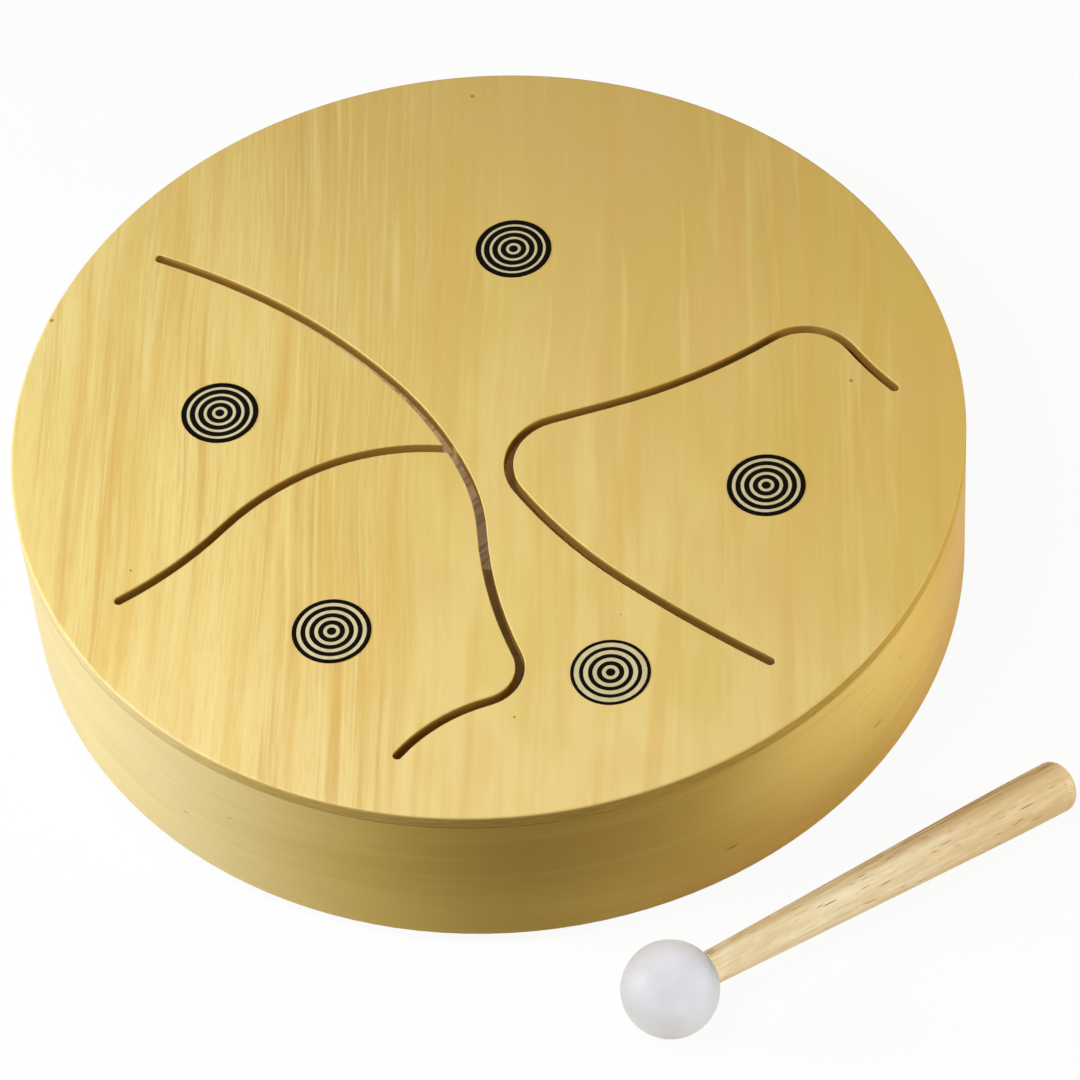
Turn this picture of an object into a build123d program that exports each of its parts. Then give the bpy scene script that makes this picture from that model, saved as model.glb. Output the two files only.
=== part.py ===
"""Round wooden tongue drum with its beater lying beside it.

A slit plywood plate closes the top of a bent wooden hoop. The slits free the tongues, and a ring mark
shows where each area is struck. A back plate closes the hoop from below, and rubber feet carry it.

Frame: origin on the resting plane under the drum's centre, +Z up, -Y towards the player. Sizes in mm.
"""

import os
from math import asin, atan2, cos, degrees, hypot, radians, sin

from build123d import *

os.makedirs("parts", exist_ok=True)

# Hoop and plates
drum_diameter = 300.0
hoop_height = 57.0
hoop_wall = 6.0
hoop_edge_round = 0.8
plate_thickness = 5.0
plate_edge_round = 1.0
seam_ease = 0.35
back_thickness = 4.0
glue_line = 0.1

# Lining strips, bent into the hoop with their ends almost meeting
lining_width = 12.0
lining_height = 12.0
lining_joint_gap = 1.5

# Slits: cutter width, how far from the rim the cutter stops, and the sanded edge
slit_width = 3.0
slit_margin = 21.5
slit_edge_ease = 0.25
slit_ease_slope = 45.0

# Slit centre lines: start heading in degrees, then points as (share of the slit-end radius, bearing)
long_slit = (-28.5, [
    (1.01, 140.3), (0.699, 137.4), (0.468, 137.4), (0.284, 142.3), (0.160, 248.1),
    (0.326, 263.8), (0.699, 271.6), (0.832, 266.1), (1.0, 253.7),
])
branch_slit = (167.2, [(0.114, 211.2), (0.424, 190.9), (0.699, 199.8), (1.01, 205.0)])
loop_slit = (127.7, [
    (1.0, 359.9), (0.920, 8.7), (0.746, 15.0), (0.302, 6.0), (0.155, 0.3),
    (0.214, 286.6), (0.586, 299.7), (1.0, 307.6),
])

# Strike marks: film discs at (share of the slit-end radius, bearing)
mark_diameter = 24.5
mark_thickness = 0.15
mark_places = {
    "strike_mark_back": (0.573, 78.9),
    "strike_mark_left": (0.660, 169.3),
    "strike_mark_front_left": (0.713, 234.6),
    "strike_mark_front": (0.816, 286.7),
    "strike_mark_right": (0.710, 337.8),
}

# Rubber feet with their screws and washers
foot_diameter = 16.0
foot_tread_diameter = 14.0
foot_height = 5.0
foot_edge_round = 0.6
foot_recess_diameter = 9.5
foot_recess_depth = 3.4
foot_bearings = {
    "foot_back_right": 45.0,
    "foot_back_left": 135.0,
    "foot_front_left": 225.0,
    "foot_front_right": 315.0,
}
screw_diameter = 3.5
screw_length = 14.0
screw_head_diameter = 7.0
screw_head_height = 2.0
screw_head_round = 0.8
screw_tip_length = 2.0
screw_clearance = 0.15
washer_diameter = 9.0
washer_thickness = 0.8

# Beater: its place beside the drum, the ball, and the turned handle
beater_heading = 27.1
beater_offset = 29.5
beater_setback = 48.5
ball_diameter = 30.0
bore_past_centre = 2.0
bore_clearance = 0.05
tip_relief = 0.5
handle_reach = 146.5
handle_tip_diameter = 10.6
handle_butt_diameter = 16.4
handle_swell_length = 28.0
butt_dome_length = 5.5

# Sizes that follow from these
drum_radius = drum_diameter / 2
hoop_inner_radius = drum_radius - hoop_wall
hoop_bottom = foot_height
plate_bottom = hoop_bottom + hoop_height
plate_top = plate_bottom + plate_thickness
back_top = hoop_bottom + back_thickness
slit_end_radius = drum_radius - slit_margin
lining_outer_radius = hoop_inner_radius - glue_line
lining_inner_radius = lining_outer_radius - lining_width
foot_ring_radius = lining_outer_radius - lining_width / 2
screw_hole_radius = screw_diameter / 2 + screw_clearance
ball_radius = ball_diameter / 2
tip_radius = handle_tip_diameter / 2
butt_radius = handle_butt_diameter / 2


def on_circle(radius, bearing):
    """Point on a circle about the drum's axis, at a bearing in degrees from +X."""
    return (radius * cos(radians(bearing)), radius * sin(radians(bearing)))


def slit_point(place):
    """Point of the slit layout, given as a share of the slit-end radius and a bearing."""
    share, bearing = place
    return on_circle(slit_end_radius * share, bearing)


foot_spots = [on_circle(foot_ring_radius, bearing) for bearing in foot_bearings.values()]

# Top plate: a rounded disc, cut through along each slit by a round-nosed cutter, with sanded edges
slit_cuts = (
    (slit_width, plate_thickness, 0),
    (slit_width + 2 * slit_edge_ease, slit_edge_ease, slit_ease_slope),
)
with BuildPart() as top_plate:
    with BuildSketch(Plane.XY.offset(plate_bottom)):
        Circle(drum_radius)
    extrude(amount=plate_thickness)
    fillet(top_plate.edges().group_by(Axis.Z)[-1], plate_edge_round)
    chamfer(top_plate.edges().group_by(Axis.Z)[0], seam_ease)
    for heading, places in (long_slit, branch_slit, loop_slit):
        points = [slit_point(place) for place in places]
        for width, depth, slope in slit_cuts:
            with BuildSketch(Plane.XY.offset(plate_top)):
                with BuildLine():
                    tangent = (cos(radians(heading)), sin(radians(heading)))
                    for start, end in zip(points, points[1:]):
                        arc = TangentArc(start, end, tangent=tangent)
                        tangent = arc % 1
                trace(line_width=width)
                with Locations(points[0], points[-1]):
                    Circle(width / 2)
            extrude(amount=-depth, taper=slope, mode=Mode.SUBTRACT)
top_plate.part.label = "top_plate"
export_step(top_plate.part, "parts/top_plate.step")

# Hoop: a bent shell with its outer edges eased, the upper one where the plate sits
with BuildPart() as hoop:
    with BuildSketch(Plane.XY.offset(hoop_bottom)):
        Circle(drum_radius)
        Circle(hoop_inner_radius, mode=Mode.SUBTRACT)
    extrude(amount=hoop_height)
    lower_edges = hoop.edges().group_by(Axis.Z)[0]
    upper_edges = hoop.edges().group_by(Axis.Z)[-1]
    fillet(lower_edges.sort_by(SortBy.RADIUS)[-1], hoop_edge_round)
    chamfer(upper_edges.sort_by(SortBy.RADIUS)[-1], seam_ease)
hoop.part.label = "hoop"
export_step(hoop.part, "parts/hoop.step")

# Back plate: a disc inside the hoop's lower end, with holes for the foot screws
with BuildPart() as back_plate:
    with BuildSketch(Plane.XY.offset(hoop_bottom)):
        Circle(hoop_inner_radius - glue_line)
        with Locations(*foot_spots):
            Circle(screw_hole_radius, mode=Mode.SUBTRACT)
    extrude(amount=back_thickness)
back_plate.part.label = "back_plate"
export_step(back_plate.part, "parts/back_plate.step")

# Lining strips: open rings with a small gap where the ends of the strip meet, at the back
with BuildSketch() as lining_outline:
    Circle(lining_outer_radius)
    Circle(lining_inner_radius, mode=Mode.SUBTRACT)
    with Locations((0, lining_outer_radius)):
        Rectangle(lining_joint_gap, 4 * lining_width, mode=Mode.SUBTRACT)

with BuildPart() as upper_lining:
    with BuildSketch(Plane.XY.offset(plate_bottom - lining_height)):
        add(lining_outline.sketch)
    extrude(amount=lining_height)
upper_lining.part.label = "upper_lining"
export_step(upper_lining.part, "parts/upper_lining.step")

with BuildPart() as lower_lining:
    with BuildSketch(Plane.XY.offset(back_top)):
        add(lining_outline.sketch)
        with Locations(*foot_spots):
            Circle(screw_hole_radius, mode=Mode.SUBTRACT)
    extrude(amount=lining_height)
lower_lining.part.label = "lower_lining"
export_step(lower_lining.part, "parts/lower_lining.step")

# Strike marks: thin film discs on the plate
for name, place in mark_places.items():
    with BuildPart() as strike_mark:
        with BuildSketch(Plane.XY.offset(plate_top)):
            with Locations(slit_point(place)):
                Circle(mark_diameter / 2)
        extrude(amount=mark_thickness)
    strike_mark.part.label = name
    export_step(strike_mark.part, f"parts/{name}.step")

# Feet: tapered rubber buttons, recessed from below for the washer and the screw head
for name, bearing in foot_bearings.items():
    tread = Plane(origin=(*on_circle(foot_ring_radius, bearing), 0))
    with BuildPart() as foot:
        with BuildSketch(tread):
            Circle(foot_tread_diameter / 2)
        with BuildSketch(tread.offset(foot_height)):
            Circle(foot_diameter / 2)
        loft()
        fillet(foot.edges().group_by(Axis.Z)[0], foot_edge_round)
        with BuildSketch(tread):
            Circle(foot_recess_diameter / 2)
        extrude(amount=foot_recess_depth, mode=Mode.SUBTRACT)
        with BuildSketch(tread):
            Circle(screw_hole_radius)
        extrude(amount=foot_height, mode=Mode.SUBTRACT)
    foot.part.label = name
    export_step(foot.part, f"parts/{name}.step")

# Washers: one in each foot, against the floor of its recess
with BuildPart() as foot_washers:
    with BuildSketch(Plane.XY.offset(foot_recess_depth - washer_thickness)):
        with Locations(*foot_spots):
            Circle(washer_diameter / 2)
            Circle(screw_hole_radius, mode=Mode.SUBTRACT)
    extrude(amount=washer_thickness)
foot_washers.part.label = "foot_washers"
export_step(foot_washers.part, "parts/foot_washers.step")

# Screws: pan heads under the washers, shanks up into the lower lining
head_top = foot_recess_depth - washer_thickness
with BuildPart() as foot_screws:
    with BuildSketch(Plane.XY.offset(head_top)):
        with Locations(*foot_spots):
            Circle(screw_head_diameter / 2)
    extrude(amount=-screw_head_height)
    fillet(foot_screws.edges().group_by(Axis.Z)[0], screw_head_round)
    with BuildSketch(Plane.XY.offset(head_top)):
        with Locations(*foot_spots):
            Circle(screw_diameter / 2)
    extrude(amount=screw_length)
    chamfer(foot_screws.edges().group_by(Axis.Z)[-1], screw_tip_length, screw_diameter / 4)
foot_screws.part.label = "foot_screws"
export_step(foot_screws.part, "parts/foot_screws.step")

# Beater: it lies on the ball and on the widest circle of the butt, so the handle slopes down a little
butt_station = handle_reach - butt_dome_length
beater_tilt = degrees(asin(ball_radius / hypot(butt_station, butt_radius)) - atan2(butt_radius, butt_station))
side_x, side_y = on_circle(drum_radius + beater_offset, beater_heading - 90)
back_x, back_y = on_circle(beater_setback, beater_heading + 180)
ball_centre = (side_x + back_x, side_y + back_y, ball_radius)
handle_line = Plane(ball_centre).rotated((0, beater_tilt, beater_heading))
handle_profile = Plane(origin=handle_line.origin, x_dir=handle_line.x_dir, z_dir=-handle_line.y_dir)
handle_section = Plane(origin=handle_line.origin, x_dir=handle_line.y_dir, z_dir=handle_line.x_dir)
handle_axis = Axis(handle_line.origin, handle_line.x_dir)
taper_slope = (butt_radius - tip_radius) / (butt_station - ball_radius - handle_swell_length / 2)
swell_radius = butt_radius - taper_slope * handle_swell_length / 2

# Ball: bored from the handle's side to a little past its centre
with BuildPart(handle_section) as beater_ball:
    Sphere(ball_radius)
    with BuildSketch(handle_section.offset(-bore_past_centre)):
        Circle(tip_radius + bore_clearance)
    extrude(amount=ball_diameter, mode=Mode.SUBTRACT)
beater_ball.part.label = "beater_ball"
export_step(beater_ball.part, "parts/beater_ball.step")

# Handle: a straight tip in the bore, a taper, a swelling butt and a domed end
with BuildPart() as beater_handle:
    with BuildSketch(handle_profile):
        with BuildLine():
            tip_start = -bore_past_centre + tip_relief
            tip = Line((tip_start, tip_radius), (ball_radius, tip_radius))
            taper = Line(tip @ 1, (butt_station - handle_swell_length, swell_radius))
            TangentArc((butt_station, butt_radius), taper @ 1, tangent=(-1, 0))
            dome = EllipticalCenterArc((butt_station, 0), butt_dome_length, butt_radius, arc_size=90)
            Line(dome @ 0, (tip_start, 0))
            Line((tip_start, 0), tip @ 0)
        make_face()
    revolve(axis=handle_axis)
beater_handle.part.label = "beater_handle"
export_step(beater_handle.part, "parts/beater_handle.step")
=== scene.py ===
"""Looks of a round wooden tongue drum and its beater: finishes, ring marks, screws, studio and camera."""
import math

import bmesh
import bpy
from mathutils import Matrix, Vector


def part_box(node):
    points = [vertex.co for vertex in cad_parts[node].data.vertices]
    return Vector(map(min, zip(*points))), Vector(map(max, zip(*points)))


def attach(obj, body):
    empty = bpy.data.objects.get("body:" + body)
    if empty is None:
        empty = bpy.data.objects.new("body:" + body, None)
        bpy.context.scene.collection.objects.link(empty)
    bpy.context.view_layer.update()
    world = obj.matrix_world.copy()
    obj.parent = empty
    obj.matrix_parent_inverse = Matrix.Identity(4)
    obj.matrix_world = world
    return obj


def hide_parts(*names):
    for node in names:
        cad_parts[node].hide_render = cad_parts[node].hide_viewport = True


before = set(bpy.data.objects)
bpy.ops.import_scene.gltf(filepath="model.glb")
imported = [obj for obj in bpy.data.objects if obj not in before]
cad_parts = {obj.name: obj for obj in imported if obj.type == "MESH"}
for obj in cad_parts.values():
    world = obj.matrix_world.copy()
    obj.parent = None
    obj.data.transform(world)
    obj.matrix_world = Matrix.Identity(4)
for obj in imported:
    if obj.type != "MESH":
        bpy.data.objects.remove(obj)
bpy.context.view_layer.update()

MM = 0.001
# Corners this close, in metres, count as level
NEAR = 0.001 * MM
FEET = ("foot_back_right", "foot_back_left", "foot_front_left", "foot_front_right")
BEATER = ("beater_handle", "beater_ball")

# Ring marks, in millimetres: width of the outermost and of the innermost ring
RING_WIDTHS = {
    "strike_mark_back": (1.85, 1.75),
    "strike_mark_left": (1.75, 1.7),
    "strike_mark_front_left": (1.45, 1.6),
    "strike_mark_front": (1.1, 1.5),
    "strike_mark_right": (1.6, 1.65),
}

# Plate: lean of the grain, radius past which a wall is the rim and not a slit, specks as (x, y, radius)
GRAIN_LEAN = math.radians(5.5)
RIM_START = 140.0
PLATE_SPECKS = (
    (5.9, 140.6, 0.9),
    (115.4, 4.1, 0.8),
    (-0.1, -113.6, 0.6),
    (-113.6, -43.6, 0.6),
    (35.1, -78.9, 0.4),
    (-135.5, 61.0, 1.0),
)
# Plies by their depth in the plate, from 0 to 1: black for the veneers, white for the core
PLY_BANDS = (
    (0.0, (0, 0, 0, 1)),
    (0.13, (0, 0, 0, 1)),
    (0.17, (1, 1, 1, 1)),
    (0.88, (1, 1, 1, 1)),
    (0.92, (0, 0, 0, 1)),
)

# Hoop: outer radius, and flecks as (degrees from the front, height, half height), long along the hoop
HOOP_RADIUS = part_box("hoop")[1][0] / MM
HOOP_FLECKS = (
    (24.5, 20.7, 0.8),
    (47.8, 27.8, 0.7),
    (52.8, 47.0, 0.35),
    (-36.5, 39.0, 0.3),
    (-43.5, 28.0, 0.35),
    (-49.0, 35.0, 0.25),
    (-68.0, 52.5, 0.3),
)
FLECK_SQUEEZE = 0.25
# Bearings from the front: the seam of the outer veneer, and the middles of a stretch of painted shade and of a
# stretch of painted light
SEAM_BEARING = math.radians(44)
HOOP_PAINTED_SHADE = math.radians(7)
HOOP_PAINTED_LIGHT = math.radians(42)

# Linings: radius at which their grain is measured
LINING_RADIUS = 140.0

# Back plate: lean of the grain. A pinkish pool of painted light lies behind a sloping line, its painted shadow
# edge, and left of an x
BACK_LEAN = math.radians(-38)
BACK_LIT_EDGE = -13.0
BACK_LIT_EDGE_SLOPE = 0.3
BACK_LIT_RIGHT = 3.4

# Lamps for the drum: name, place and edge in metres, power in watts, colour
DRUM_LAMPS = (
    ("left", (-0.8, -0.05, 0.32), 0.25, 4.8, (0.9, 1.0, 1.18)),
    ("right", (0.76, -0.17, 0.24), 0.25, 3.4, (1.0, 0.89, 0.62)),
    ("above", (-0.27, -0.2, 0.72), 0.3, 3.35, (1.0, 0.97, 0.9)),
)
DRUM_AIM = (0, 0, 0.05)
# Lamps inside the drum: name, place in plan, power
CHAMBER_LAMPS = (
    ("chamber_back", (-0.05, 0.074), 0.036),
    ("chamber_front", (0.0, -0.032), 0.007),
)
CHAMBER_LAMP_EDGE = 0.08
CHAMBER_LIGHT = (1.0, 0.96, 0.88)
# Lamps for the beater: name, place, power. They are cool, to undo the floor's warm tint
BEATER_LAMPS = (
    ("beater_left", (-0.8, -0.05, 0.32), 4.8),
    ("beater_right", (0.76, -0.17, 0.24), 3.2),
    ("beater_front", (0.12, -0.68, 0.06), 2.2),
    ("beater_back", (0.1, 0.1, 0.7), 2.9),
)
BEATER_LAMP_EDGE = 0.35
BEATER_LIGHT = (0.985, 1.005, 1.09)
BEATER_AIM = (0.08, -0.16, 0.01)
# Light from all round, and how much of the floor's white is its own where it is seen
ROOM_LIGHT = (1.0, 0.9, 0.65, 1.0)
ROOM_STRENGTH = 0.08
FLOOR_GLOW = 0.94


def box_mm(node):
    """Lowest and highest corner of a CAD node in millimetres."""
    low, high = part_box(node)
    return Vector(low) / MM, Vector(high) / MM


def srgb(red, green, blue):
    """A colour as seen on screen, from 0 to 255, as the linear colour that shaders take."""
    def linear(value):
        value /= 255
        return value / 12.92 if value <= 0.04045 else ((value + 0.055) / 1.055) ** 2.4
    return (linear(red), linear(green), linear(blue), 1.0)


class Finish:
    """A node material in the making. Places are millimetres in the drum's own frame."""

    def __init__(self, name):
        self.material = bpy.data.materials.new(name)
        self.material.use_nodes = True
        self.tree = self.material.node_tree
        self.shader = self.tree.nodes["Principled BSDF"]

    def feed(self, socket, value):
        """Links a socket to another one, or sets its value."""
        if isinstance(value, bpy.types.NodeSocket):
            self.tree.links.new(value, socket)
        else:
            socket.default_value = value

    def node(self, kind, inputs, **settings):
        """A new node with its settings made and its inputs fed."""
        node = self.tree.nodes.new("ShaderNode" + kind)
        for key, value in settings.items():
            setattr(node, key, value)
        for key, value in inputs.items():
            self.feed(node.inputs[key], value)
        return node

    def place(self):
        """The point on the surface, in millimetres."""
        metres = self.node("TexCoord", {}).outputs["Object"]
        return self.node("VectorMath", {0: metres, "Scale": 1 / MM}, operation="SCALE").outputs[0]

    def split(self, vector):
        """The three parts of a vector."""
        return self.node("SeparateXYZ", {0: vector}).outputs

    def join(self, x, y, z):
        """A vector from its three parts."""
        return self.node("CombineXYZ", {0: x, 1: y, 2: z}).outputs[0]

    def length(self, vector):
        """A vector's length."""
        return self.node("VectorMath", {0: vector}, operation="LENGTH").outputs["Value"]

    def turned(self, vector, angle):
        """A vector turned about the drum's axis."""
        inputs = {"Vector": vector, "Angle": angle}
        return self.node("VectorRotate", inputs, rotation_type="Z_AXIS").outputs[0]

    def math(self, operation, first, second=0.0, third=0.0):
        """One arithmetic step."""
        return self.node("Math", {0: first, 1: second, 2: third}, operation=operation).outputs[0]

    def product(self, *values):
        """All values multiplied."""
        total = values[0]
        for value in values[1:]:
            total = self.math("MULTIPLY", total, value)
        return total

    def line(self, value, slope, start):
        """The start, plus the slope times the value."""
        return self.math("MULTIPLY_ADD", value, slope, start)

    def gap(self, value, middle):
        """How far a value is from a middle one."""
        return self.math("ABSOLUTE", self.math("SUBTRACT", value, middle))

    def bearing(self, x, y):
        """The angle round the drum, from the front to the right."""
        return self.math("ARCTAN2", x, self.math("MULTIPLY", y, -1.0))

    def rise(self, value, low, high, top=1.0):
        """Goes smoothly from 0 where the value is low to top where it is high."""
        inputs = {"Value": value, "From Min": low, "From Max": high, "To Max": top}
        return self.node("MapRange", inputs, interpolation_type="SMOOTHSTEP").outputs[0]

    def mix(self, share, base, other):
        """The base colour, with a share of the other."""
        return self.node("Mix", {0: share, 6: base, 7: other}, data_type="RGBA").outputs[2]

    def blend(self, base, other, *shares):
        """The base colour, with a share of another as seen on screen. Several shares are multiplied."""
        return self.mix(self.product(*shares), base, srgb(*other))

    def steps(self, value, stops):
        """A colour for each stretch of a value: stops are (value, colour)."""
        ramp = self.node("ValToRGB", {0: value})
        elements = ramp.color_ramp.elements
        elements.remove(elements[0])
        elements[0].position, elements[0].color = stops[0]
        for position, colour in stops[1:]:
            elements.new(position).color = colour
        return ramp.outputs["Color"]

    def scaled(self, place, size, seed):
        """The place in patches of the given size in millimetres, moved on by the seed."""
        inverse = [1 / length for length in size]
        offset = (seed * 3.7, seed * 5.3, seed * 2.9)
        inputs = {0: place, 1: inverse, 2: offset}
        return self.node("VectorMath", inputs, operation="MULTIPLY_ADD").outputs[0]

    def noise(self, place, size, seed, detail=2.0, roughness=0.5):
        """Cloudy value round 0.5 that changes over the given size along each axis."""
        vector = self.scaled(place, size, seed)
        inputs = {"Vector": vector, "Scale": 1.0, "Detail": detail, "Roughness": roughness}
        return self.node("TexNoise", inputs).outputs["Fac"]

    def flecks(self, place, size, seed, reach, share):
        """1 inside scattered flecks: a share of the cells of that size hold one, of that reach."""
        voronoi = self.node("TexVoronoi", {"Vector": self.scaled(place, size, seed), "Scale": 1.0})
        inside = self.rise(voronoi.outputs["Distance"], reach, 0.6 * reach)
        luck = self.node("SeparateColor", {0: voronoi.outputs["Color"]}).outputs[0]
        return self.product(inside, self.math("LESS_THAN", luck, share))

    def spots(self, place, spots):
        """1 inside the given spots: (x, y, radius)."""
        total = 0.0
        for x, y, radius in spots:
            inputs = {0: place, 1: (x, y, 0)}
            gap = self.node("VectorMath", inputs, operation="DISTANCE").outputs["Value"]
            total = self.math("MAXIMUM", self.rise(gap, radius, 0.4 * radius), total)
        return total

    def upright(self):
        """1 on walls, 0 on faces that look up or down."""
        normal = self.node("NewGeometry", {}).outputs["Normal"]
        tilt = self.math("ABSOLUTE", self.split(normal)[2])
        return self.rise(tilt, 0.75, 0.45)

    def surface(self, colour, roughness, height, relief, **fixed):
        """Feeds the shader: relief is the height's full depth in millimetres."""
        self.feed(self.shader.inputs["Base Color"], colour)
        self.feed(self.shader.inputs["Roughness"], roughness)
        bump = self.node("Bump", {"Height": height, "Distance": relief * MM, "Strength": 1.0})
        self.feed(self.shader.inputs["Normal"], bump.outputs[0])
        for name, value in fixed.items():
            self.shader.inputs[name.replace("_", " ")].default_value = value
        return self.material


def plate_ply():
    """Lacquered light plywood: striped veneer on the left, cloudy on the right, plies on the walls."""
    finish = Finish("plate_ply")
    x, y, height = finish.split(finish.place())
    flat = finish.join(x, y, 0.0)
    across, along, _ = finish.split(finish.turned(flat, GRAIN_LEAN))
    wander = finish.noise(flat, (70, 160, 1), 1, detail=1.0)
    wobble = finish.noise(flat, (18, 60, 1), 13, detail=1.0)
    across = finish.line(wander, 12.0, across)
    across = finish.line(wobble, 1.6, across)
    grain = finish.join(across, along, 0.0)

    colour = veneer_colour(finish, grain)
    colour = finish.blend(colour, (112, 92, 44), finish.spots(flat, PLATE_SPECKS), 0.7)
    wall = finish.upright()
    colour = finish.mix(wall, colour, plate_wall_colour(finish, flat, height))
    fibres = finish.noise(grain, (0.9, 60, 1), 9)
    roughness = finish.line(fibres, 0.12, finish.line(wall, 0.3, 0.36))
    return finish.surface(colour, roughness, fibres, 0.03, Specular_IOR_Level=0.2)


def veneer_colour(finish, grain):
    """The plate's face: streaks and fine lines on the left, clouds with a few pale wisps on the right."""
    across, along, _ = finish.split(grain)
    left = finish.rise(across, 0.0, -35.0)
    plain = finish.math("SUBTRACT", 1.0, left)
    clouds = finish.noise(grain, (26, 110, 1), 4)
    colour = finish.mix(finish.rise(clouds, 0.35, 0.65), srgb(235, 210, 132), srgb(226, 198, 117))
    colour = plate_painted_light(finish, colour, across, along)

    hue = finish.noise(grain, (22, 55, 1), 15)
    colour = finish.blend(colour, (231, 192, 122), plain, finish.rise(hue, 0.5, 0.66, 0.35))
    colour = finish.blend(colour, (221, 196, 102), plain, finish.rise(hue, 0.5, 0.34, 0.35))
    broad = finish.rise(finish.noise(grain, (8, 130, 1), 10), 0.45, 0.7)
    colour = finish.blend(colour, (224, 184, 99), broad, finish.line(left, 0.1, 0.45))

    dense = finish.noise(grain, (20, 150, 1), 12, detail=1.0)
    striped = finish.product(left, finish.rise(dense, 0.3, 0.62))
    stripes = finish.rise(finish.noise(grain, (2.8, 110, 1), 2, detail=3.0, roughness=0.6), 0.46, 0.7)
    colour = finish.blend(colour, (214, 173, 92), stripes, finish.line(striped, 0.6, 0.1))
    lines = finish.rise(finish.noise(grain, (1.2, 80, 1), 3), 0.5, 0.74)
    colour = finish.blend(colour, (246, 226, 158), lines, finish.line(left, 0.34, 0.05))
    fibres = finish.rise(finish.noise(grain, (0.7, 9, 1), 14), 0.5, 0.7)
    colour = finish.blend(colour, (208, 166, 90), fibres, finish.line(left, 0.14, 0.06))
    wisps = finish.rise(finish.noise(grain, (4.2, 90, 1), 5, detail=3.0), 0.56, 0.74)
    return finish.blend(colour, (244, 223, 152), wisps, finish.line(left, 0.1, 0.34))


def plate_painted_light(finish, colour, across, along):
    """Painted light and shade over the plate: paler towards the front and at the far left, where the lamps
    fall, browner towards the back right and the right.
    """
    back_right = finish.rise(finish.line(across, 0.5, along), -20.0, 150.0)
    right = finish.rise(across, 40.0, 140.0)
    front = finish.rise(along, -20.0, -140.0)
    far_left = finish.rise(across, -95.0, -150.0)
    colour = finish.blend(colour, (222, 188, 106), back_right, 0.8)
    colour = finish.blend(colour, (229, 192, 106), right, 0.4)
    colour = finish.blend(colour, (242, 218, 150), front, 0.75)
    return finish.blend(colour, (243, 228, 156), far_left, 0.4)


def plate_wall_colour(finish, flat, height):
    """The plies seen on the rim and in the slits: veneers over and under a core, with painted light on the
    rim's left and painted shade in some slits.
    """
    low, high = box_mm("top_plate")
    x, y, _ = finish.split(flat)
    inputs = {"Value": height, "From Min": high.z, "From Max": low.z}
    depth = finish.node("MapRange", inputs).outputs[0]
    bands = finish.steps(depth, PLY_BANDS)

    streaks = finish.noise(finish.join(x, y, height), (7, 7, 0.6), 8, detail=3.0)
    core = finish.mix(finish.rise(streaks, 0.35, 0.65), srgb(210, 179, 100), srgb(189, 158, 83))
    lower = finish.product(finish.rise(depth, 0.3, 0.7), finish.rise(x, -60.0, 20.0))
    veneer = finish.mix(lower, srgb(200, 169, 93), srgb(214, 184, 110))
    edge = finish.mix(bands, veneer, core)
    # Painted light: the rim paler towards the left, where the left lamp falls.
    edge = finish.blend(edge, (248, 232, 180), finish.rise(x, -70.0, -130.0, 0.5))

    cut = finish.mix(bands, srgb(216, 178, 92), srgb(190, 150, 68))
    # Painted shade: the slit walls darker towards the back and at the front right.
    cut = finish.blend(cut, (150, 112, 40), finish.rise(y, 40.0, 80.0, 0.35))
    front_right = finish.product(finish.rise(x, 20.0, 50.0), finish.rise(y, -40.0, -70.0))
    cut = finish.blend(cut, (150, 112, 40), front_right, 0.5)
    rim = finish.rise(finish.length(flat), RIM_START - 1.0, RIM_START + 1.0)
    return finish.mix(rim, cut, edge)


def hoop_ply():
    """Lacquered light plywood bent round, its grain along the hoop, with a seam in the outer veneer."""
    finish = Finish("hoop_ply")
    x, y, z = finish.split(finish.place())
    bearing = finish.bearing(x, y)
    arc = finish.math("MULTIPLY", bearing, HOOP_RADIUS)
    radius = finish.length(finish.join(x, y, 0.0))
    grain = finish.join(arc, z, radius)

    clouds = finish.noise(grain, (90, 18, 3), 21)
    stripes = finish.noise(grain, (140, 3.5, 3), 22, detail=3.0)
    fibres = finish.noise(grain, (40, 0.9, 3), 24)
    colour = finish.mix(finish.rise(clouds, 0.3, 0.7), srgb(230, 202, 114), srgb(222, 190, 98))
    colour = hoop_painted_light(finish, colour, bearing, x, z)
    colour = finish.blend(colour, (242, 218, 148), finish.rise(stripes, 0.5, 0.75, 0.2))
    colour = finish.blend(colour, (200, 156, 78), finish.rise(fibres, 0.5, 0.75, 0.18))
    colour = finish.blend(colour, (128, 88, 36), hoop_flecks(finish, arc, z), 0.6)
    seam = finish.rise(finish.gap(bearing, SEAM_BEARING), 0.006, 0.001)
    colour = finish.blend(colour, (246, 220, 150), seam, finish.rise(z, 26.0, 34.0), 0.3)

    flat, ply = hoop_plies(finish, radius, x)
    colour = finish.mix(flat, colour, ply)
    return finish.surface(colour, finish.line(clouds, 0.15, 0.48), fibres, 0.03, Specular_IOR_Level=0.2)


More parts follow.
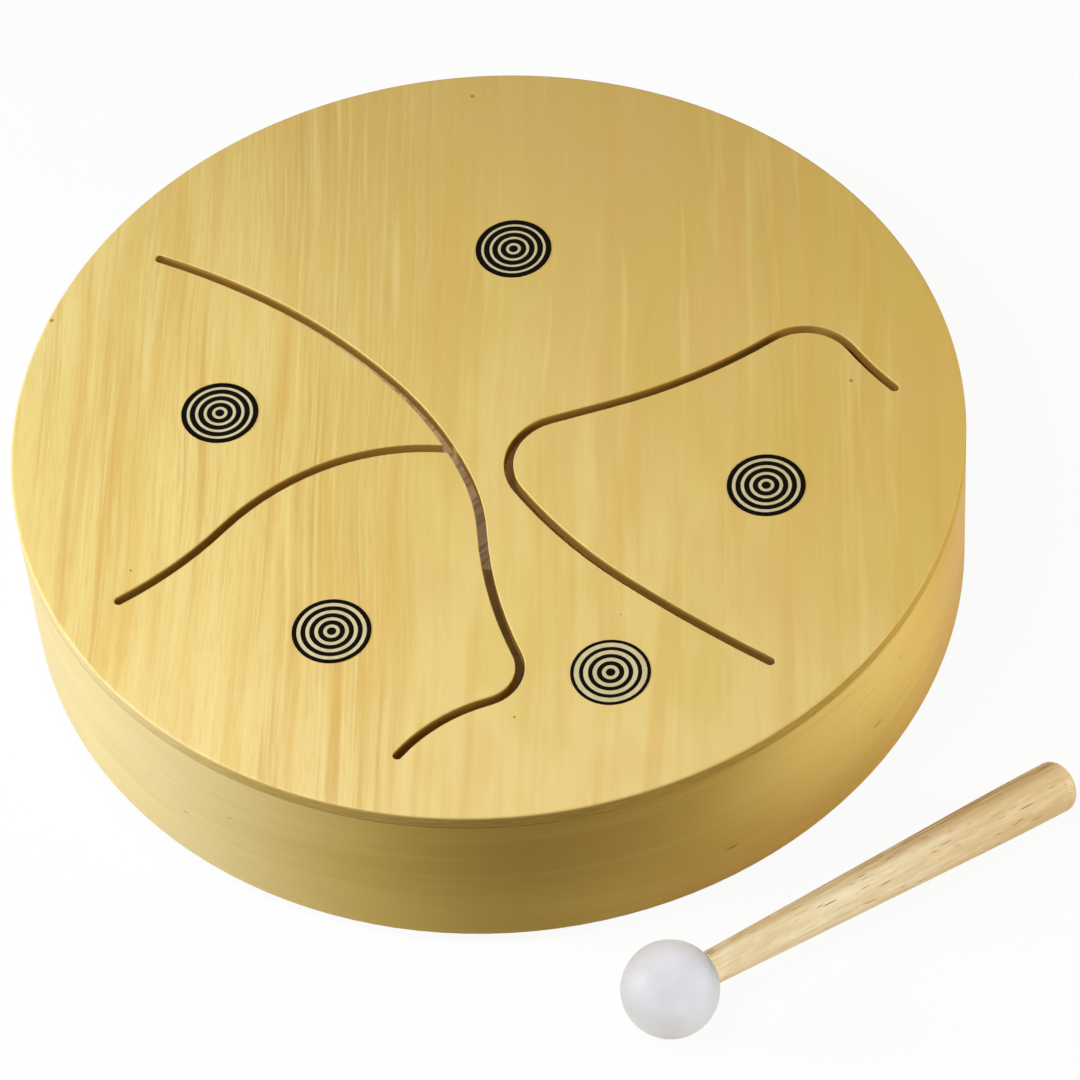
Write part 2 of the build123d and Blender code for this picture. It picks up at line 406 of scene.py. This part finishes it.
def hoop_painted_light(finish, colour, bearing, x, z):
    """Painted light and shade round the hoop: paler towards the left lamp, greyer at the far left edge, darker
    at the right edge, a dark stretch at the front, a lit stretch high at the front right, and darker low on
    the right.
    """
    # Painted light towards the left and at its edge, painted shade at the right edge.
    colour = finish.blend(colour, (249, 232, 184), finish.rise(x, -40.0, -110.0, 0.5))
    colour = finish.blend(colour, (206, 190, 145), finish.rise(x, -130.0, -149.0, 0.35))
    colour = finish.blend(colour, (199, 161, 87), finish.rise(x, 122.0, 149.0, 0.85))
    # Painted shade: a dark stretch at the front, between the lamps, strongest up high.
    dark = finish.rise(finish.gap(bearing, HOOP_PAINTED_SHADE), 0.5, 0.05)
    colour = finish.blend(colour, (198, 162, 72), dark, finish.line(finish.rise(z, 16.0, 40.0), 0.6, 0.2))
    # Painted light: a pale stretch at the front right, towards the top.
    pale = finish.rise(finish.gap(bearing, HOOP_PAINTED_LIGHT), 0.4, 0.05)
    colour = finish.blend(colour, (248, 221, 142), pale, finish.rise(z, 20.0, 55.0))
    # Painted shade: darker low on the right.
    right, lower = finish.rise(x, 15.0, 60.0), finish.rise(z, 34.0, 8.0)
    return finish.blend(colour, (198, 159, 80), right, lower, 0.6)


def hoop_flecks(finish, arc, z):
    """1 inside the hoop's dark flecks, which lie along it."""
    inputs = {0: finish.join(arc, z, 0.0), 1: (FLECK_SQUEEZE, 1.0, 1.0)}
    squeezed = finish.node("VectorMath", inputs, operation="MULTIPLY").outputs[0]
    spots = [
        (math.radians(degrees) * HOOP_RADIUS * FLECK_SQUEEZE, up, size)
        for degrees, up, size in HOOP_FLECKS
    ]
    return finish.spots(squeezed, spots)


def hoop_plies(finish, radius, x):
    """Where the hoop's upper and lower faces show its plies, and their colour."""
    half_ply, outer_veneer, blur = 0.75, 0.6, 0.4
    layer = finish.math("PINGPONG", radius, half_ply)
    ply = finish.mix(finish.rise(layer, 0.15, 0.3), srgb(150, 108, 56), srgb(216, 180, 108))
    veneer_start = HOOP_RADIUS - outer_veneer
    within = finish.rise(radius, veneer_start, veneer_start - blur)
    within = finish.math("MAXIMUM", within, finish.rise(x, 40.0, -60.0, 0.7))
    return finish.product(finish.math("SUBTRACT", 1.0, finish.upright()), within), ply


def back_ply():
    """Raw plywood with its grain askew: brown, with a pinkish pool of painted light with open pores on its
    inner face, behind a sharp painted shadow edge.
    """
    finish = Finish("back_ply")
    place = finish.place()
    x, y, z = finish.split(place)
    grain = finish.turned(place, BACK_LEAN)
    bands = finish.noise(grain, (90, 7, 6), 31, detail=3.0)
    strokes = finish.noise(grain, (14, 1.7, 6), 32)
    dark = finish.rise(bands, 0.35, 0.65)
    pink = finish.mix(dark, srgb(212, 187, 156), srgb(187, 160, 126))
    pink = finish.blend(pink, (140, 114, 84), finish.rise(strokes, 0.5, 0.64, 0.6))
    brown = finish.mix(dark, srgb(158, 122, 60), srgb(140, 106, 50))
    inner, blur = box_mm("back_plate")[1].z, 0.6
    # Painted light and shade: pinkish where light through the slits falls, brown beyond the sharp edge.
    painted_pool = finish.product(
        finish.rise(finish.line(x, BACK_LIT_EDGE_SLOPE, y), BACK_LIT_EDGE - blur, BACK_LIT_EDGE + blur),
        finish.rise(x, BACK_LIT_RIGHT + blur, BACK_LIT_RIGHT - blur),
        finish.rise(z, inner - 1.0, inner - 0.2),
    )
    colour = finish.mix(painted_pool, brown, pink)
    return finish.surface(colour, finish.line(bands, 0.1, 0.7), strokes, 0.1)


def lining_wood():
    """Raw softwood strip, bent round: growth lines along it."""
    finish = Finish("lining_wood")
    x, y, z = finish.split(finish.place())
    radius = finish.length(finish.join(x, y, 0.0))
    grain = finish.join(finish.math("MULTIPLY", finish.bearing(x, y), LINING_RADIUS), z, radius)
    lines = finish.noise(grain, (160, 1.8, 1.8), 41, detail=2.0)
    colour = finish.mix(finish.rise(lines, 0.4, 0.65), srgb(222, 190, 140), srgb(196, 152, 98))
    return finish.surface(colour, finish.line(lines, 0.1, 0.68), lines, 0.1)


def mark_ink():
    """Black printing ink, a little uneven."""
    finish = Finish("mark_ink")
    patches = finish.noise(finish.place(), (3, 3, 3), 51, detail=3.0)
    colour = finish.mix(finish.rise(patches, 0.3, 0.7), srgb(10, 7, 5), srgb(15, 11, 8))
    roughness = finish.line(patches, 0.2, 0.75)
    return finish.surface(colour, roughness, patches, 0.01, Specular_IOR_Level=0.05)


def mark_film():
    """Film over the plate, greyed a little between the rings."""
    finish = Finish("mark_film")
    grain = finish.noise(finish.place(), (2.5, 60, 3), 52, detail=2.0)
    colour = finish.mix(finish.rise(grain, 0.35, 0.65), srgb(219, 206, 164), srgb(209, 196, 152))
    roughness = finish.line(grain, 0.15, 0.45)
    return finish.surface(colour, roughness, grain, 0.01, Specular_IOR_Level=0.2)


def foot_rubber():
    """Moulded black rubber, matt and finely grained."""
    finish = Finish("foot_rubber")
    place = finish.place()
    grain = finish.noise(place, (0.5, 0.5, 0.5), 61, detail=3.0)
    dust = finish.noise(place, (6, 6, 4), 62)
    colour = finish.mix(finish.rise(dust, 0.4, 0.7), srgb(36, 36, 37), srgb(58, 57, 55))
    return finish.surface(colour, finish.line(dust, 0.2, 0.6), grain, 0.06)


def fastener_steel():
    """Zinc-plated steel."""
    finish = Finish("fastener_steel")
    crystals = finish.noise(finish.place(), (0.8, 0.8, 0.8), 71, detail=3.0)
    colour = finish.mix(crystals, srgb(172, 174, 176), srgb(206, 208, 208))
    return finish.surface(colour, finish.line(crystals, 0.2, 0.22), crystals, 0.01, Metallic=1.0)


def handle_axis():
    """The handle's own frame: x along it, from the ball's centre."""
    low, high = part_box("beater_ball")
    ball = (Vector(low) + Vector(high)) / 2
    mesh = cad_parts["beater_handle"].data
    butt = max((vertex.co for vertex in mesh.vertices), key=lambda co: (co - ball).length)
    along = (butt - ball).normalized()
    side = Vector((0, 0, 1)).cross(along).normalized()
    return Matrix((along, side, along.cross(side))), ball


def handle_wood():
    """Raw turned hardwood with short open pores along the stick, browner on one side near the butt."""
    finish = Finish("handle_wood")
    turn, ball = handle_axis()
    inputs = {"Vector": finish.place(), "Location": turn @ (-ball / MM), "Rotation": turn.to_euler()}
    grain = finish.node("Mapping", inputs, vector_type="POINT").outputs[0]
    along, side, _ = finish.split(grain)
    bands = finish.noise(grain, (60, 5, 5), 81, detail=3.0)
    mottle = finish.noise(grain, (9, 2.4, 2.4), 85, detail=3.0, roughness=0.6)
    streaks = finish.noise(grain, (24, 1.3, 1.3), 87, detail=3.0)
    fibres = finish.noise(grain, (14, 0.6, 0.6), 82)
    pores = handle_pores(finish, grain)

    colour = finish.mix(finish.rise(bands, 0.35, 0.65), srgb(230, 212, 168), srgb(217, 191, 140))
    colour = finish.blend(colour, (241, 226, 186), finish.rise(mottle, 0.45, 0.7, 0.5))
    brown = finish.product(finish.rise(side, -1.5, 6.0), finish.rise(along, 30.0, 110.0))
    brown = finish.product(brown, finish.rise(bands, 0.2, 0.45), finish.rise(streaks, 0.3, 0.6))
    colour = finish.blend(colour, (142, 102, 50), brown)
    colour = finish.blend(colour, (194, 154, 86), finish.rise(along, 60.0, 145.0, 0.45))
    colour = finish.blend(colour, (196, 158, 96), finish.rise(streaks, 0.52, 0.7, 0.28))
    colour = finish.blend(colour, (200, 166, 110), finish.rise(fibres, 0.5, 0.72, 0.45))
    colour = finish.blend(colour, (116, 82, 44), pores, 0.75)
    height = finish.math("SUBTRACT", fibres, pores)
    return finish.surface(colour, finish.line(fibres, 0.2, 0.55), height, 0.1)


def handle_pores(finish, grain):
    """1 inside the handle's pores, long and short ones, which come in groups."""
    long_ones = finish.flecks(grain, (14, 0.9, 0.9), 83, 0.24, 0.45)
    short_ones = finish.flecks(grain, (7, 0.7, 0.7), 84, 0.24, 0.35)
    groups = finish.rise(finish.noise(grain, (35, 4, 4), 86), 0.4, 0.52)
    return finish.product(finish.math("MAXIMUM", long_ones, short_ones), groups)


def ball_rubber():
    """Matt white rubber that lets a little light through."""
    finish = Finish("ball_rubber")
    place = finish.place()
    mottle = finish.noise(place, (7, 7, 7), 91, detail=3.0)
    grain = finish.noise(place, (0.4, 0.4, 0.4), 92, detail=2.0)
    colour = finish.mix(finish.rise(mottle, 0.3, 0.7), srgb(218, 220, 226), srgb(223, 225, 231))
    return finish.surface(
        colour, finish.line(mottle, 0.15, 0.4), grain, 0.02,
        Specular_IOR_Level=0.4, Sheen_Weight=0.4, Sheen_Roughness=0.5,
        Subsurface_Weight=1.0, Subsurface_Scale=0.06, Subsurface_Radius=(1.0, 1.0, 1.0),
    )


def dress(node, material):
    """Gives a CAD node its finish."""
    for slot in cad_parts[node].material_slots:
        slot.material = material


def new_piece(name, mesh, materials):
    """An object from a bmesh, with its materials."""
    data = bpy.data.meshes.new(name)
    mesh.to_mesh(data)
    mesh.free()
    for material in materials:
        data.materials.append(material)
    piece = bpy.data.objects.new(name, data)
    bpy.context.collection.objects.link(piece)
    return piece


def turn_profile(mesh, profile, centre, segments):
    """Turns a profile of (radius, z, material of the face up to the next point) round a centre."""
    rings = []
    for radius, z, _ in profile:
        count = segments if radius else 1
        angles = [2 * math.pi * step / count for step in range(count)]
        rings.append([
            mesh.verts.new((centre.x + radius * math.cos(a), centre.y + radius * math.sin(a), z))
            for a in angles
        ])
    for first, second, (_, _, material) in zip(rings, rings[1:], profile):
        for step in range(segments):
            after = (step + 1) % segments
            corners = [first[step % len(first)], second[step % len(second)]]
            corners += [second[after % len(second)], first[after % len(first)]]
            face = mesh.faces.new(dict.fromkeys(corners))
            face.material_index = material
    bmesh.ops.recalc_face_normals(mesh, faces=mesh.faces)


def sharpen(mesh, angle):
    """Smooth faces, with a hard edge where two of them meet at more than the angle."""
    for face in mesh.faces:
        face.smooth = True
    for edge in mesh.edges:
        edge.smooth = edge.is_manifold and edge.calc_face_angle() < angle


def rim_profile(mesh, low, high):
    """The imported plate's rim, from the flat top over the rounded edge and the wall to the flat underside."""
    rim_width, round_steps = 2 * MM, 8
    outer = [(vertex.co.xy.length, vertex.co.z) for vertex in mesh.verts]
    outer = [(radius, z) for radius, z in outer if radius > high.x - rim_width]
    top_radius = min(radius for radius, z in outer if z > high.z - NEAR)
    low_radius = min(radius for radius, z in outer if z < low.z + NEAR)
    wall = [z for radius, z in outer if radius > high.x - NEAR]
    profile = []
    for step in range(round_steps + 1):
        angle = math.radians(90 - 90 / round_steps * step)
        radius = top_radius + (high.x - top_radius) * math.cos(angle)
        profile.append((radius, max(wall) + (high.z - max(wall)) * math.sin(angle), 0))
    return profile + [(high.x, min(wall), 0), (low_radius, low.z, 0)]


def close_face(mesh, z):
    """Fills the plate's flat face at a height, between the rim and the slits."""
    edges = [
        edge for edge in mesh.edges
        if edge.is_boundary and all(abs(vertex.co.z - z) < NEAR for vertex in edge.verts)
    ]
    bmesh.ops.triangle_fill(mesh, use_beauty=True, edges=edges)


def top_plate(ply):
    """The plate with its rim turned finely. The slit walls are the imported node's own."""
    mesh = bmesh.new()
    mesh.from_mesh(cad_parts["top_plate"].data)
    bmesh.ops.remove_doubles(mesh, verts=mesh.verts, dist=NEAR / 2)
    low, high = (Vector(corner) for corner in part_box("top_plate"))
    profile = rim_profile(mesh, low, high)
    top_radius = profile[0][0]
    gone = [
        face for face in mesh.faces
        if abs(face.normal.z) > 0.99 or face.calc_center_median().xy.length > top_radius
    ]
    bmesh.ops.delete(mesh, geom=gone, context="FACES")

    turn_profile(mesh, profile, Vector((0, 0, 0)), segments=720)
    for z in (high.z, low.z):
        close_face(mesh, z)
    bmesh.ops.recalc_face_normals(mesh, faces=mesh.faces)
    sharpen(mesh, angle=math.radians(30))
    piece = new_piece("top_plate_fine", mesh, (ply,))
    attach(piece, "drum")
    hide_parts("top_plate")


def ring_mark(node, ring_widths, film, ink):
    """A printed mark: four black rings, from the outermost width to the innermost, and a dot, on a film."""
    ring_pitch, dot_radius, ink_depth = 2.7 * MM, 1.45 * MM, 0.03 * MM
    innermost = 3
    low, high = (Vector(corner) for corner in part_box(node))
    centre, radius = (low + high) / 2, (high.x - low.x) / 2
    film_top = high.z - ink_depth
    profile = [(0, low.z, 0), (radius, low.z, 0), (radius, film_top, 1)]
    for ring in range(innermost + 1):
        outer = radius - ring * ring_pitch
        inner = outer - MM * (ring_widths[0] + (ring_widths[1] - ring_widths[0]) * ring / innermost)
        profile += [(outer, high.z, 1), (inner, high.z, 1), (inner, film_top, 0)]
        profile += [(outer - ring_pitch, film_top, 1)] if ring < innermost else []
    profile += [(dot_radius, film_top, 1), (dot_radius, high.z, 1), (0, high.z, 1)]
    mesh = bmesh.new()
    turn_profile(mesh, profile, centre, segments=144)
    piece = new_piece(node + "_print", mesh, (film, ink))
    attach(piece, "drum")
    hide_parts(node)


def screw_profile(low, high):
    """The outline of a pan-head screw with its head down."""
    head_radius, head_height, crown = 3.5 * MM, 2 * MM, 1.2 * MM
    shank_radius, tip_length, crown_steps = 1.75 * MM, 3 * MM, 6
    shank_start = low.z + head_height
    profile = [(0, low.z, 0)]
    for step in range(crown_steps + 1):
        angle = math.radians(90 / crown_steps * step)
        radius = head_radius - crown + crown * math.sin(angle)
        profile.append((radius, low.z + crown - crown * math.cos(angle), 0))
    profile += [(head_radius, shank_start, 0), (shank_radius, shank_start, 0)]
    return profile + [(shank_radius, high.z - tip_length, 0), (0, high.z, 0)]


def cut_away(piece, tool):
    """Cuts a tool out of a piece, and removes the tool."""
    cut = piece.modifiers.new("cut", "BOOLEAN")
    cut.object, cut.solver, cut.use_self = tool, "EXACT", True
    shaped = bpy.data.meshes.new_from_object(piece.evaluated_get(bpy.context.evaluated_depsgraph_get()))
    piece.modifiers.clear()
    piece.data = shaped
    bpy.data.objects.remove(tool)


def foot_screws(steel):
    """Four pan-head screws with cross recesses, seen from below in the feet."""
    cross_length, cross_width, cutter_height = 4.2 * MM, 0.9 * MM, 2.4 * MM
    low, high = (Vector(corner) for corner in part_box("foot_screws"))
    mesh = bmesh.new()
    cutter = bmesh.new()
    for foot in FEET:
        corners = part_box(foot)
        centre = (Vector(corners[0]) + Vector(corners[1])) / 2
        turn_profile(mesh, screw_profile(low, high), centre, segments=48)
        place = Matrix.Translation((centre.x, centre.y, low.z))
        for length, breadth in ((cross_length, cross_width), (cross_width, cross_length)):
            size = Matrix.Diagonal((length, breadth, cutter_height, 1))
            bmesh.ops.create_cube(cutter, size=1, matrix=place @ size)
    piece = new_piece("foot_screws_cross", mesh, (steel,))
    cut_away(piece, new_piece("cross_cutter", cutter, (steel,)))
    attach(piece, "drum")
    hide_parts("foot_screws")


def seen_directly(tree):
    """1 for rays that show the background: from the camera, a mirror or glass."""
    path = tree.nodes.new("ShaderNodeLightPath")
    total = path.outputs["Is Camera Ray"]
    for name in ("Is Glossy Ray", "Is Transmission Ray"):
        larger = tree.nodes.new("ShaderNodeMath")
        larger.operation = "MAXIMUM"
        tree.links.new(total, larger.inputs[0])
        tree.links.new(path.outputs[name], larger.inputs[1])
        total = larger.outputs[0]
    return total


def floor():
    """A white floor that keeps a faint shadow. The light that it throws back is dimmer and warm."""
    mesh = bmesh.new()
    bmesh.ops.create_grid(mesh, x_segments=1, y_segments=1, size=6)
    finish = Finish("studio_floor")
    tree = finish.tree
    paper = finish.noise(finish.place(), (40, 40, 40), 99)
    seen = seen_directly(tree)
    colour = finish.mix(paper, srgb(240, 240, 240), srgb(244, 244, 244))
    colour = finish.mix(seen, srgb(182, 173, 146), colour)
    diffuse = finish.node("BsdfDiffuse", {"Color": colour})
    glow = finish.node("Emission", {"Color": (1, 1, 1, 1), "Strength": 1.0})
    share = finish.math("MULTIPLY", seen, FLOOR_GLOW)
    shader = finish.node("MixShader", {0: share, 1: diffuse.outputs[0], 2: glow.outputs[0]})
    finish.feed(tree.nodes["Material Output"].inputs["Surface"], shader.outputs[0])
    tree.nodes.remove(finish.shader)
    new_piece("studio_floor", mesh, (finish.material,))


def surroundings():
    """Soft light from all round, and white where the background itself is seen."""
    world = bpy.data.worlds.new("studio")
    world.use_nodes = True
    bpy.context.scene.world = world
    tree = world.node_tree
    soft = tree.nodes["Background"]
    soft.inputs["Color"].default_value = ROOM_LIGHT
    soft.inputs["Strength"].default_value = ROOM_STRENGTH
    white = tree.nodes.new("ShaderNodeBackground")
    white.inputs["Color"].default_value = (1, 1, 1, 1)
    mix = tree.nodes.new("ShaderNodeMixShader")
    tree.links.new(seen_directly(tree), mix.inputs[0])
    tree.links.new(soft.outputs[0], mix.inputs[1])
    tree.links.new(white.outputs[0], mix.inputs[2])
    tree.links.new(mix.outputs[0], tree.nodes["World Output"].inputs["Surface"])


def soft_box(name, place, aim, edge, power, colour):
    """A square soft lamp that looks at its aim, hidden from the camera."""
    data = bpy.data.lights.new(name, "AREA")
    data.size, data.energy, data.color = edge, power, colour
    item = bpy.data.objects.new(name, data)
    item.location = place
    item.rotation_euler = (Vector(aim) - Vector(place)).to_track_quat("-Z", "Y").to_euler()
    item.visible_camera = False
    bpy.context.collection.objects.link(item)
    return item


def chamber_lamps():
    """Soft light under the plate, so that the slits show the chamber's back plate as in the photograph."""
    under_plate = 4 * MM
    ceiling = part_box("top_plate")[0][2] - under_plate
    for name, (x, y), power in CHAMBER_LAMPS:
        place = Vector((x, y, ceiling))
        soft_box(name, place, place - Vector((0, 0, 1)), CHAMBER_LAMP_EDGE, power, CHAMBER_LIGHT)


def beater_group(name, state):
    """The beater as a collection that a lamp lights alone, or leaves out."""
    group = bpy.data.collections.new(name)
    for node in BEATER:
        group.objects.link(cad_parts[node])
    for item in group.collection_objects:
        item.light_linking.link_state = state
    return group


def beater_lamps(drum_lamps):
    """Soft boxes for the beater alone, which the photograph lights evenly and without the drum's tint."""
    left_out, alone = beater_group("drum_light", "EXCLUDE"), beater_group("beater_light", "INCLUDE")
    for lamp in drum_lamps:
        lamp.light_linking.receiver_collection = left_out
    for name, place, power in BEATER_LAMPS:
        lamp = soft_box(name, place, BEATER_AIM, BEATER_LAMP_EDGE, power, BEATER_LIGHT)
        lamp.light_linking.receiver_collection = alone


def camera():
    """The photograph's camera: found from the drum's outline, the ply seam and the marks."""
    image_width, focal_pixels, principal = 1080, 5322.7, (498.2, 547.2)
    elevation, roll, distance = math.radians(51.986), math.radians(-5.548), 1.7186
    back = Vector((0, -math.cos(elevation), math.sin(elevation)))
    level, up = Vector((1, 0, 0)), Vector((0, math.sin(elevation), math.cos(elevation)))
    right = level * math.cos(roll) + up * math.sin(roll)
    upward = up * math.cos(roll) - level * math.sin(roll)
    data = bpy.data.cameras.new("camera")
    data.sensor_width = 36
    data.lens = focal_pixels / image_width * data.sensor_width
    data.shift_x = 0.5 - principal[0] / image_width
    data.shift_y = principal[1] / image_width - 0.5
    item = bpy.data.objects.new("camera", data)
    aim = Vector((0, 0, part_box("hoop")[0][2]))
    turn = Matrix((right, upward, back)).transposed().to_4x4()
    item.matrix_world = Matrix.Translation(aim + back * distance) @ turn
    bpy.context.collection.objects.link(item)
    bpy.context.scene.camera = item


def dress_drum():
    """Finishes for the CAD nodes, and the pieces that stand for the rest."""
    top_plate(plate_ply())
    dress("hoop", hoop_ply())
    dress("back_plate", back_ply())
    lining, rubber, steel = lining_wood(), foot_rubber(), fastener_steel()
    dress("upper_lining", lining)
    dress("lower_lining", lining)
    dress("foot_washers", steel)
    for foot in FEET:
        dress(foot, rubber)
    film, ink = mark_film(), mark_ink()
    for mark, ring_widths in RING_WIDTHS.items():
        ring_mark(mark, ring_widths, film, ink)
    foot_screws(steel)


def dress_beater():
    """Finishes for the beater."""
    dress("beater_handle", handle_wood())
    dress("beater_ball", ball_rubber())


def studio():
    """Floor, light and camera."""
    floor()
    surroundings()
    drum_lamps = [
        soft_box(name, place, DRUM_AIM, edge, power, colour)
        for name, place, edge, power, colour in DRUM_LAMPS
    ]
    chamber_lamps()
    beater_lamps(drum_lamps)
    camera()
    bpy.context.scene.view_settings.view_transform = "Standard"


dress_drum()
dress_beater()
studio()
